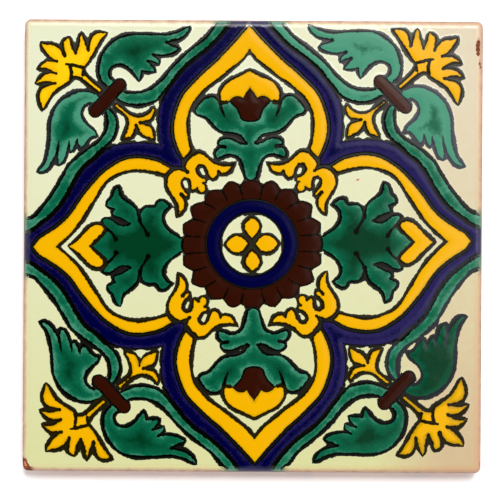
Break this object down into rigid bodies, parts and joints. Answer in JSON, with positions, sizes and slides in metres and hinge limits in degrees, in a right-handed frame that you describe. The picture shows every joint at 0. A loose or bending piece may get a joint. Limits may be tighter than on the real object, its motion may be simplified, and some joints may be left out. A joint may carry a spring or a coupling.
{
  "type": "talavera wall tile",
  "caption": "Square hand-made glazed terracotta wall tile with a mirrored quatrefoil, rosette and corner sprays in raised pools of coloured glaze inside dark resist lines.",
  "frame": {"origin": "middle of the flat back face", "axes": "+Z out of the glazed face, +Y towards the top lotus, +X to the right when facing the glazed face"},
  "size_m": [0.105, 0.1036, 0.007],
  "materials": {
    "terracotta": "unglazed fired clay, matt, slightly sandy",
    "cream_glaze": "glossy opaque tin glaze, thin and pinkish at the arris",
    "yellow_glaze": "glossy opaque glaze",
    "green_glaze": "glossy glaze, pale where thin and deep where it pools",
    "blue_glaze": "glossy cobalt glaze",
    "brown_glaze": "glossy iron glaze"
  },
  "bodies": {
    "root": {"bottom_arch": "yellow_glaze", "bottom_lotus_foliage": "green_glaze", "bottom_lotus_heart": "brown_glaze", "bottom_lotus_tulip": "yellow_glaze", "bud_bottom_left": "yellow_glaze", "bud_bottom_right": "yellow_glaze", "bud_top_left": "yellow_glaze", "bud_top_right": "yellow_glaze", "centre_petal_bottom": "yellow_glaze", "centre_petal_left": "yellow_glaze", "centre_petal_right": "yellow_glaze", "centre_petal_top": "yellow_glaze", "centre_ring": "blue_glaze", "clasp_bottom_left": "brown_glaze", "clasp_bottom_right": "brown_glaze", "clasp_top_left": "brown_glaze", "clasp_top_right": "brown_glaze", "clay_body": "terracotta", "corner_flower_bottom_left": "yellow_glaze", "corner_flower_bottom_right": "yellow_glaze", "corner_flower_top_left": "yellow_glaze", "corner_flower_top_right": "yellow_glaze", "ground_glaze": "cream_glaze", "left_arch": "yellow_glaze", "left_palmette": "green_glaze", "left_tip_petal": "yellow_glaze", "ogee_band": "blue_glaze", "right_arch": "yellow_glaze", "right_palmette": "green_glaze", "right_tip_petal": "yellow_glaze", "rosette": "brown_glaze", "side_leaf_bottom_left": "green_glaze", "side_leaf_bottom_right": "green_glaze", "side_leaf_top_left": "green_glaze", "side_leaf_top_right": "green_glaze", "side_stem_bottom_left": "green_glaze", "side_stem_bottom_right": "green_glaze", "side_stem_top_left": "green_glaze", "side_stem_top_right": "green_glaze", "top_arch": "yellow_glaze", "top_lotus_foliage": "green_glaze", "top_lotus_heart": "brown_glaze", "top_lotus_tulip": "yellow_glaze", "trefoil_bottom_left": "yellow_glaze", "trefoil_bottom_right": "yellow_glaze", "trefoil_top_left": "yellow_glaze", "trefoil_top_right": "yellow_glaze", "upper_leaf_bottom_left": "green_glaze", "upper_leaf_bottom_right": "green_glaze", "upper_leaf_top_left": "green_glaze", "upper_leaf_top_right": "green_glaze", "upper_stem_bottom_left": "green_glaze", "upper_stem_bottom_right": "green_glaze", "upper_stem_top_left": "green_glaze", "upper_stem_top_right": "green_glaze"}
  },
  "joints": []
}
